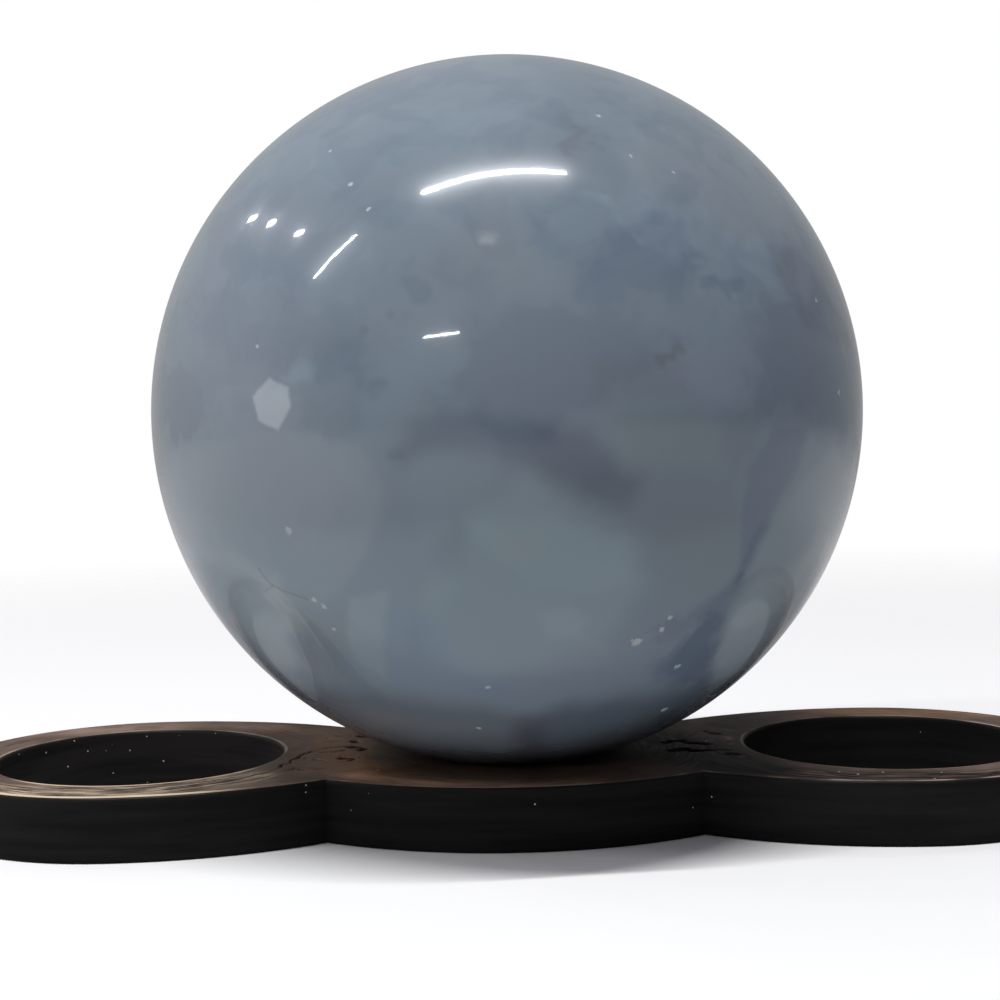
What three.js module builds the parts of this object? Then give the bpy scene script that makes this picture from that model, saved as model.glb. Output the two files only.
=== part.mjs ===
// A polished stone sphere resting on a flat wooden stand: a straight row of three open rings.
//
// Millimetres, +Z up. The origin is on the surface that the stand lies on, straight under the
// middle of the sphere. +X runs along the row of rings.
import * as THREE from 'three';

// ---- Driving dimensions ----

const SPHERE_RADIUS = 30;

const RING_PITCH = 32; // between the centres of neighbouring rings
const STAND_THICKNESS = 5.1;
const OUTER_HOLE_RADIUS = 12.1;
const OUTER_RING_RADIUS = 16.8; // round end of the row, and half its width there
const MIDDLE_HALF_WIDTH = 16.15; // half the width of the middle ring
const NECK_X = 15; // where two neighbouring rings meet
const NECK_HALF_WIDTH = 11.65;
const ARRIS = 0.3; // size of the flat on every edge of the stand

const SEAT_RADIUS = 7.8; // the circle on the stand's top that carries the sphere
const SEAT_GAP = 0.05; // clearance between the sphere and the edge of its seat

// ---- Resolution of the faceted solids ----

const SPHERE_DETAIL = 15;
const ARC_DIVISIONS = 16; // an arc has twice as many straight sides

// ---- Shapes ----

// Centre and radius of the arc whose crest is half the width out from the row's middle line,
// and which meets the neck after a given run along the row.
function scallopArc(crestHalfWidth, run) {
  const rise = crestHalfWidth - NECK_HALF_WIDTH;
  const radius = (run * run + rise * rise) / (2 * rise);
  return { radius, setBack: radius - crestHalfWidth, halfAngle: Math.asin(run / radius) };
}

// The outline runs anticlockwise from the near crest of the left ring.
function standOutline() {
  const outer = scallopArc(OUTER_RING_RADIUS, RING_PITCH - NECK_X);
  const middle = scallopArc(MIDDLE_HALF_WIDTH, NECK_X);
  const near = -Math.PI / 2;
  const far = Math.PI / 2;
  const outline = new THREE.Shape();
  outline.absarc(-RING_PITCH, outer.setBack, outer.radius, near, near + outer.halfAngle);
  outline.absarc(0, middle.setBack, middle.radius, near - middle.halfAngle, near + middle.halfAngle);
  outline.absarc(RING_PITCH, outer.setBack, outer.radius, near - outer.halfAngle, near);
  outline.absarc(RING_PITCH, 0, OUTER_RING_RADIUS, near, far);
  outline.absarc(RING_PITCH, -outer.setBack, outer.radius, far, far + outer.halfAngle);
  outline.absarc(0, -middle.setBack, middle.radius, far - middle.halfAngle, far + middle.halfAngle);
  outline.absarc(-RING_PITCH, -outer.setBack, outer.radius, far - outer.halfAngle, far);
  outline.absarc(-RING_PITCH, 0, OUTER_RING_RADIUS, far, far + Math.PI);
  return outline;
}

function roundHole(x, radius) {
  const hole = new THREE.Path();
  hole.absarc(x, 0, radius, 0, 2 * Math.PI, true);
  return hole;
}

function makeStand() {
  const outline = standOutline();
  outline.holes.push(
    roundHole(-RING_PITCH, OUTER_HOLE_RADIUS),
    roundHole(0, SEAT_RADIUS - ARRIS),
    roundHole(RING_PITCH, OUTER_HOLE_RADIUS),
  );
  const geometry = new THREE.ExtrudeGeometry(outline, {
    depth: STAND_THICKNESS - 2 * ARRIS,
    curveSegments: ARC_DIVISIONS,
    bevelEnabled: true,
    bevelSegments: 1,
    bevelThickness: ARRIS,
    bevelSize: ARRIS,
    bevelOffset: -ARRIS,
  });
  const lacqueredWood = new THREE.MeshStandardMaterial({ color: 0x2b231d, roughness: 0.35, metalness: 0 });
  const stand = new THREE.Mesh(geometry, lacqueredWood);
  stand.name = 'ring_stand';
  stand.position.z = ARRIS;
  return stand;
}

function makeSphere() {
  const centreAboveSeat = Math.sqrt(SPHERE_RADIUS ** 2 - SEAT_RADIUS ** 2) + SEAT_GAP;
  const polishedStone = new THREE.MeshStandardMaterial({ color: 0x76838f, roughness: 0.15, metalness: 0 });
  const sphere = new THREE.Mesh(new THREE.IcosahedronGeometry(SPHERE_RADIUS, SPHERE_DETAIL), polishedStone);
  sphere.name = 'stone_sphere';
  sphere.position.z = STAND_THICKNESS + centreAboveSeat;
  return sphere;
}

const group = new THREE.Group();
group.add(makeStand(), makeSphere());

export default group;
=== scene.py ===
"""A polished ball of cloudy blue-grey stone on a dark wooden stand, a row of three open rings.

The script is laid out as a Blender add-on: settings in property groups, one operator for each
piece and one for the stage, and a panel that lists them. Lengths are in metres, in the frame of
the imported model: +Z up, +X along the row of rings, and the origin straight under the ball.
"""
import math
import random

import bmesh
import bpy
import numpy
from bpy.props import FloatProperty, FloatVectorProperty, IntProperty, PointerProperty
from mathutils import Matrix, Vector, noise


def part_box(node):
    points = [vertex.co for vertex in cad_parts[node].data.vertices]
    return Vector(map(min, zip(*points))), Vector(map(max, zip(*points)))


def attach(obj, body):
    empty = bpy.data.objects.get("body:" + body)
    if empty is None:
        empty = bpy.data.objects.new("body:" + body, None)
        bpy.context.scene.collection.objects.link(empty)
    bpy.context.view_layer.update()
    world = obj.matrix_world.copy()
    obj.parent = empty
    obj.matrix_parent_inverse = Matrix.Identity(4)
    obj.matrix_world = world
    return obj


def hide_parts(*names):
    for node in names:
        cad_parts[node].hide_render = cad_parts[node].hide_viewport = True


bl_info = {
    "name": "Stone ball on a ring stand",
    "version": (1, 0, 0),
    "blender": (4, 5, 0),
    "location": "3D View > Sidebar > Stone Ball",
    "description": "Makes a polished stone ball, its wooden stand of three rings and a plain stage",
    "category": "Add Mesh",
}

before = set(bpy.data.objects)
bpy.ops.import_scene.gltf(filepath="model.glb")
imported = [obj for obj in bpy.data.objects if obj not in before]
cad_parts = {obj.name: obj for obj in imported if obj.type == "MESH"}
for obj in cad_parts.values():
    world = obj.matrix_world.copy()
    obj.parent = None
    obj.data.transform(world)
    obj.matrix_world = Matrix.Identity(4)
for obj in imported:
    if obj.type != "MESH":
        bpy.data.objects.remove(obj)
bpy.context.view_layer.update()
BALL_LOW, BALL_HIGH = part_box("stone_sphere")
BOARD_LOW, BOARD_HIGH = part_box("ring_stand")

MM = 0.001
BALL_CENTRE = (BALL_LOW + BALL_HIGH) / 2
BALL_RADIUS = (BALL_HIGH.z - BALL_LOW.z) / 2
BOARD_TOP = BOARD_HIGH.z
END_RADIUS = BOARD_HIGH.y  # the row ends in half circles as wide as the board
RING_PITCH = BOARD_HIGH.x - END_RADIUS
NECK_X = 15.0 * MM  # where two rings meet, out from the middle of the row
PIT_SEED = 41
NOISE_SEED = 5


# ---- Settings ----


def length(name, description, default):
    return FloatProperty(
        name=name, description=description, default=default, min=0.0, unit="LENGTH", precision=5
    )


def colour(name, description, default):
    return FloatVectorProperty(
        name=name, description=description, default=default, size=3, min=0.0, max=1.0, subtype="COLOR"
    )


def factor(name, description, default):
    return FloatProperty(
        name=name, description=description, default=default, min=0.0, max=1.0, subtype="FACTOR"
    )


def angle(name, description, degrees):
    return FloatProperty(name=name, description=description, default=math.radians(degrees), unit="ROTATION")


class BallSettings(bpy.types.PropertyGroup):
    """Sizes and colours of the stone ball"""

    subdivisions: IntProperty(
        name="Subdivisions", description="How finely the round surface is divided", default=7, min=3, max=8
    )
    pale: colour("Pale stone", "The paler clouds in the stone", (0.21, 0.265, 0.315))
    deep: colour("Deep stone", "The darker clouds in the stone", (0.175, 0.222, 0.27))
    fresh: colour("Fresh stone", "The bare stone inside chips and pits", (0.42, 0.46, 0.49))
    polish: factor("Polish", "Roughness of the polished surface", 0.045)
    glow: factor("Glow", "Share of a softer gloss that haloes the lamps", 0.35)
    ripple: length("Ripple", "Depth of the polish's slight waves", 0.004 * MM)
    stray_pits: IntProperty(
        name="Stray pits", description="Small pits scattered over the ball", default=26, min=0, max=200
    )


class StandSettings(bpy.types.PropertyGroup):
    """Sizes and colours of the wooden stand"""

    hole_radius: length("Ring hole radius", "Radius of the open hole in each outer ring", 12.1 * MM)
    seat_radius: length("Seat radius", "Radius of the hole's edge that carries the ball", 7.8 * MM)
    middle_half_width: length("Middle half width", "Half the width of the middle ring", 16.15 * MM)
    neck_x: length("Neck place", "Where two rings meet, out from the middle of the row", NECK_X)
    neck_half_width: length("Neck half width", "Half the board's width where two rings meet", 11.65 * MM)
    arris: length("Arris", "How far every edge of the board is rounded over", 0.3 * MM)
    split_depth: length("Split depth", "How deep the wood has split at the necks", 0.22 * MM)
    wood: colour("Wood", "Brown wood of the top face", (0.155, 0.112, 0.088))
    dark_grain: colour("Dark grain", "Dark streaks and splits in the wood", (0.03, 0.022, 0.017))
    # Pale bare wood, and also the painted sheen in the near left rim's streaks and its wide edge line
    wear_and_sheen: colour("Worn wood", "Pale wood where the finish has rubbed away", (0.44, 0.35, 0.25))
    # Also the painted highlight in the thin line along the rounded edges
    edge_wear_and_highlight: colour("Rubbed edge", "Wood along the edges of the top", (0.38, 0.28, 0.23))
    side: colour("Side", "Black stain on the sides and in the holes", (0.015, 0.0145, 0.0145))
    dust: colour("Dust", "Specks of dust", (0.6, 0.6, 0.6))


class StageSettings(bpy.types.PropertyGroup):
    """Floor, lights and camera"""

    floor: colour("Floor", "Pale floor under the stand", (0.95, 0.95, 0.95))
    floor_bounce: colour("Floor bounce", "The floor as it lights the ball and the stand", (0.7, 0.7, 0.7))
    mirrored_near: colour("Mirrored near", "The floor close by, as the polish mirrors it", (0.3, 0.3, 0.3))
    mirrored_front: colour("Mirrored front", "The floor in front, as the polish mirrors it", (0.4, 0.4, 0.4))
    mirrored_back: colour("Mirrored back", "The floor at the back, as the polish mirrors it", (0.6, 0.6, 0.6))
    floor_radius: length("Floor radius", "Radius of the floor disc", 1.2)
    distance: length("Camera distance", "From the camera to the middle of the ball", 152.8 * MM)
    azimuth: angle("Camera azimuth", "Turn of the camera around the ball, from the front towards +X", -0.1)
    roll: angle("Camera roll", "Lean of the camera around its line of sight", -1.17)
    focal_length: FloatProperty(
        name="Focal length", description="Camera lens in millimetres", default=64.0, min=1.0, unit="CAMERA"
    )
    shift: FloatVectorProperty(
        name="Shift", description="Lens shift, across and up", default=(-0.007, -0.09), size=2
    )


# ---- Nodes shared by the materials ----


def feed(tree, node, inputs):
    """Sets a node's inputs. Each is a plain value, or another node's output."""
    for key, value in inputs.items():
        if isinstance(value, bpy.types.NodeSocket):
            tree.links.new(value, node.inputs[key])
        else:
            node.inputs[key].default_value = value


def add(tree, kind, inputs=None, **settings):
    """Adds a node with its settings and its inputs."""
    node = tree.nodes.new(kind)
    for name, value in settings.items():
        setattr(node, name, value)
    feed(tree, node, inputs or {})
    return node


def object_coords(tree):
    return add(tree, "ShaderNodeTexCoord").outputs["Object"]


def attribute(tree, name, output="Fac"):
    return add(tree, "ShaderNodeAttribute", attribute_name=name).outputs[output]


def axis_value(tree, vector, axis):
    return add(tree, "ShaderNodeSeparateXYZ", {"Vector": vector}).outputs[axis]


def maths(tree, operation, first, second=0.0, clamp=False):
    node = add(tree, "ShaderNodeMath", {0: first, 1: second}, operation=operation, use_clamp=clamp)
    return node.outputs[0]


def vector_maths(tree, operation, first, second=(0.0, 0.0, 0.0)):
    node = add(tree, "ShaderNodeVectorMath", {0: first, 1: second}, operation=operation)
    return node.outputs["Value" if operation in {"LENGTH", "DISTANCE", "DOT_PRODUCT"} else "Vector"]


def scaled(tree, vector, amount):
    node = add(tree, "ShaderNodeVectorMath", {0: vector, "Scale": amount}, operation="SCALE")
    return node.outputs["Vector"]


def blend_colour(tree, amount, first, second):
    """From the first colour, where amount is 0, to the second. Each is a socket or three numbers."""
    ends = [end if isinstance(end, bpy.types.NodeSocket) else (*end, 1.0) for end in (first, second)]
    # The node's colours are its inputs 6 and 7 and its output 2.
    node = add(tree, "ShaderNodeMix", {0: amount, 6: ends[0], 7: ends[1]}, data_type="RGBA")
    return node.outputs[2]


def fade(tree, value, start, end, low=1.0, high=0.0):
    """Smooth step from low, where value is at the start, to high, where it is at the end."""
    inputs = {"Value": value, "From Min": start, "From Max": end, "To Min": low, "To Max": high}
    return add(tree, "ShaderNodeMapRange", inputs, interpolation_type="SMOOTHSTEP").outputs["Result"]


def rise(tree, value, start, end):
    """Smooth step from 0 to 1."""
    return fade(tree, value, start, end, 0.0, 1.0)


def new_group(name, inputs, output):
    """A shader node group, and its input and output nodes.

    An input whose default is None is a vector, and so is an output named Vector. All others are
    plain numbers.
    """
    kinds = {True: "NodeSocketVector", False: "NodeSocketFloat"}
    tree = bpy.data.node_groups.new(name, "ShaderNodeTree")
    for socket_name, default in inputs.items():
        socket = tree.interface.new_socket(socket_name, in_out="INPUT", socket_type=kinds[default is None])
        if default is not None:
            socket.default_value = default
    tree.interface.new_socket(output, in_out="OUTPUT", socket_type=kinds[output == "Vector"])
    return tree, tree.nodes.new("NodeGroupInput").outputs, tree.nodes.new("NodeGroupOutput")


def build_bend_group(name):
    """Pushes places about by noise, so that what is drawn there gets a wandering outline."""
    tree, given, result = new_group(name, {"Vector": None, "Scale": 100.0, "Push": 1.0 * MM}, "Vector")
    inputs = {"Vector": given["Vector"], "Scale": given["Scale"], "Detail": 2.0}
    noise_colour = add(tree, "ShaderNodeTexNoise", inputs).outputs["Color"]
    swing = vector_maths(tree, "SUBTRACT", noise_colour, (0.5, 0.5, 0.5))
    pushed = vector_maths(tree, "ADD", given["Vector"], scaled(tree, swing, given["Push"]))
    feed(tree, result, {"Vector": pushed})
    return tree


def build_bar_group(name):
    """A soft bar with round ends between two places, or a soft spot where they are the same."""
    inputs = {"Vector": None, "Start": None, "End": None, "Half Width": 1.0 * MM, "Softness": 1.0 * MM}
    tree, given, result = new_group(name, inputs, "Mask")
    from_start = vector_maths(tree, "SUBTRACT", given["Vector"], given["Start"])
    whole = vector_maths(tree, "SUBTRACT", given["End"], given["Start"])
    reached = vector_maths(tree, "DOT_PRODUCT", from_start, whole)
    along = maths(tree, "DIVIDE", reached, vector_maths(tree, "DOT_PRODUCT", whole, whole), clamp=True)
    away = vector_maths(tree, "DISTANCE", from_start, scaled(tree, whole, along))
    inner = maths(tree, "SUBTRACT", given["Half Width"], given["Softness"])
    outer = maths(tree, "ADD", given["Half Width"], given["Softness"])
    feed(tree, result, {"Mask": fade(tree, away, inner, outer)})
    return tree


def build_specks_group(name):
    """Sparse small specks: dust on the wood, mineral grains in the stone."""
    inputs = {"Vector": None, "Scale": 400.0, "Share": 0.1, "Size": 0.2}
    tree, given, result = new_group(name, inputs, "Mask")
    cells = add(tree, "ShaderNodeTexVoronoi", {"Vector": given["Vector"], "Scale": given["Scale"]})
    chance = add(tree, "ShaderNodeSeparateColor", {"Color": cells.outputs["Color"]}).outputs["Red"]
    chosen = maths(tree, "LESS_THAN", chance, given["Share"])
    core = maths(tree, "MULTIPLY", given["Size"], 0.6)
    spot = fade(tree, cells.outputs["Distance"], core, given["Size"])
    feed(tree, result, {"Mask": maths(tree, "MULTIPLY", spot, chosen)})
    return tree


def use_group(tree, name, build, inputs):
    """Places a node group, which is built the first time that a material needs it."""
    group = bpy.data.node_groups.get(name) or build(name)
    return add(tree, "ShaderNodeGroup", inputs, node_tree=group).outputs[0]


def bend(tree, coords, scale, push):
    return use_group(tree, "Bend", build_bend_group, {"Vector": coords, "Scale": scale, "Push": push})


def trail(tree, coords, places, half_width, softness):
    """Mask of a soft trail through places, with its half width and softness in millimetres.

    One place alone gives a round spot.
    """
    mask = None
    for start, end in zip(places, places[1:] or places):
        inputs = {"Vector": coords, "Start": start, "End": end}
        inputs.update({"Half Width": half_width * MM, "Softness": softness * MM})
        bar = use_group(tree, "Soft bar", build_bar_group, inputs)
        mask = bar if mask is None else maths(tree, "MAXIMUM", mask, bar)
    return mask


def specks(tree, coords, scale, share, size):
    inputs = {"Vector": coords, "Scale": scale, "Share": share, "Size": size}
    return use_group(tree, "Specks", build_specks_group, inputs)


def noise_value(tree, coords, scale, detail=2.0, roughness=0.5):
    inputs = {"Vector": coords, "Scale": scale, "Detail": detail, "Roughness": roughness}
    return add(tree, "ShaderNodeTexNoise", inputs).outputs["Fac"]


def shade(tree, mask, colour_in, factors):
    """Multiplies a colour's red, green and blue where the mask is 1."""
    return blend_colour(tree, mask, colour_in, vector_maths(tree, "MULTIPLY", colour_in, factors))


def roughened(tree, height, depth):
    """A normal that follows the height, up to the depth."""
    bump = add(tree, "ShaderNodeBump", {"Height": height, "Strength": 1.0, "Distance": depth})
    return bump.outputs["Normal"]


def new_material(name):
    material = bpy.data.materials.new(name)
    material.use_nodes = True
    tree = material.node_tree
    return material, tree, tree.nodes["Principled BSDF"]


# ---- Stone ball ----


def on_ball(longitude, latitude, radius=BALL_RADIUS):
    """A place on the ball, out from its centre. Longitude turns from the front towards +X."""
    turn, climb = math.radians(longitude), math.radians(latitude)
    out = Vector((math.sin(turn) * math.cos(climb), -math.cos(turn) * math.cos(climb), math.sin(climb)))
    return out * radius


# Chips and pits that show from the front: longitude, latitude, radius and depth in millimetres.
FRONT_PITS = [
    (-34.0, -16.3, 0.32, 0.10),
    (-32.7, -27.0, 0.22, 0.08),
    (-31.4, -28.1, 0.26, 0.08),
    (-31.0, -32.0, 0.17, 0.06),
    (21.6, -34.9, 0.42, 0.11),
    (25.8, -32.9, 0.22, 0.08),
    (26.7, -31.0, 0.24, 0.08),
    (33.1, -40.7, 0.26, 0.09),
    (39.5, -51.8, 0.30, 0.09),
    (-4.8, -42.8, 0.16, 0.06),
    (-8.8, -53.7, 0.20, 0.08),
    (21.1, 47.2, 0.20, 0.07),
    (23.8, 38.3, 0.17, 0.06),
    (31.2, 35.5, 0.15, 0.05),
    (-26.9, 34.2, 0.18, 0.06),
    (-22.0, 29.5, 0.15, 0.05),
    (-35.4, 41.5, 0.15, 0.05),
    (-37.8, 9.7, 0.15, 0.05),
]


def stray_pits(count):
    """Small pits scattered away from the front, by a fixed seed."""
    draw = random.Random(PIT_SEED)
    front = 55.0  # degrees to either side that stay free of them
    pits = []
    while len(pits) < count:
        longitude = draw.uniform(-180.0, 180.0)
        latitude = math.degrees(math.asin(draw.uniform(-0.9, 0.98)))
        size = draw.uniform(0.15, 0.4)
        if abs(longitude) > front:
            pits.append((longitude, latitude, size, size * 0.3))
    return pits


def carve_pit(bm, chip, longitude, latitude, radius, depth):
    """Divides the ball's surface around the pit, and pushes a chipped hollow into it."""
    centre = on_ball(longitude, latitude)
    margin = 0.4 * MM
    for reach in (2.4 * radius, 1.9 * radius):
        edges = [e for e in bm.edges if (e.verts[0].co - centre).length < reach + margin]
        bmesh.ops.subdivide_edges(bm, edges=edges, cuts=1, use_grid_fill=True)
    for vert in bm.verts:
        gap = (vert.co - centre).length
        if gap > 2.5 * radius + 0.5 * MM:
            continue
        vert.co = vert.co.normalized() * BALL_RADIUS
        ragged = radius * (1.0 + 0.7 * noise.noise(vert.co / (0.45 * radius)))
        inside = max(0.0, 1.0 - (gap / ragged) ** 2)
        vert.co -= vert.co.normalized() * depth * inside**0.7
        vert[chip] = max(vert[chip], min(1.0, 2.5 * inside))


def make_ball_mesh(settings):
    bm = bmesh.new()
    chip = bm.verts.layers.float.new("chip")
    bmesh.ops.create_icosphere(bm, subdivisions=settings.subdivisions, radius=BALL_RADIUS)
    for longitude, latitude, radius, depth in FRONT_PITS + stray_pits(settings.stray_pits):
        carve_pit(bm, chip, longitude, latitude, radius * MM, depth * MM)
    bmesh.ops.triangulate(bm, faces=bm.faces[:])
    paint_clouds_light_and_shade(bm)
    bmesh.ops.translate(bm, verts=bm.verts, vec=BALL_CENTRE)
    return finish_mesh(bm, "stone_ball")


def finish_mesh(bm, name, sharp_angle=math.pi):
    """Makes the mesh an object, shaded smooth but for edges sharper than the angle."""
    for face in bm.faces:
        face.smooth = True
    for edge in bm.edges:
        edge.smooth = len(edge.link_faces) == 2 and edge.calc_face_angle() < sharp_angle
    mesh = bpy.data.meshes.new(name)
    bm.to_mesh(mesh)
    bm.free()
    piece = bpy.data.objects.new(name, mesh)
    bpy.context.scene.collection.objects.link(piece)
    return piece
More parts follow.
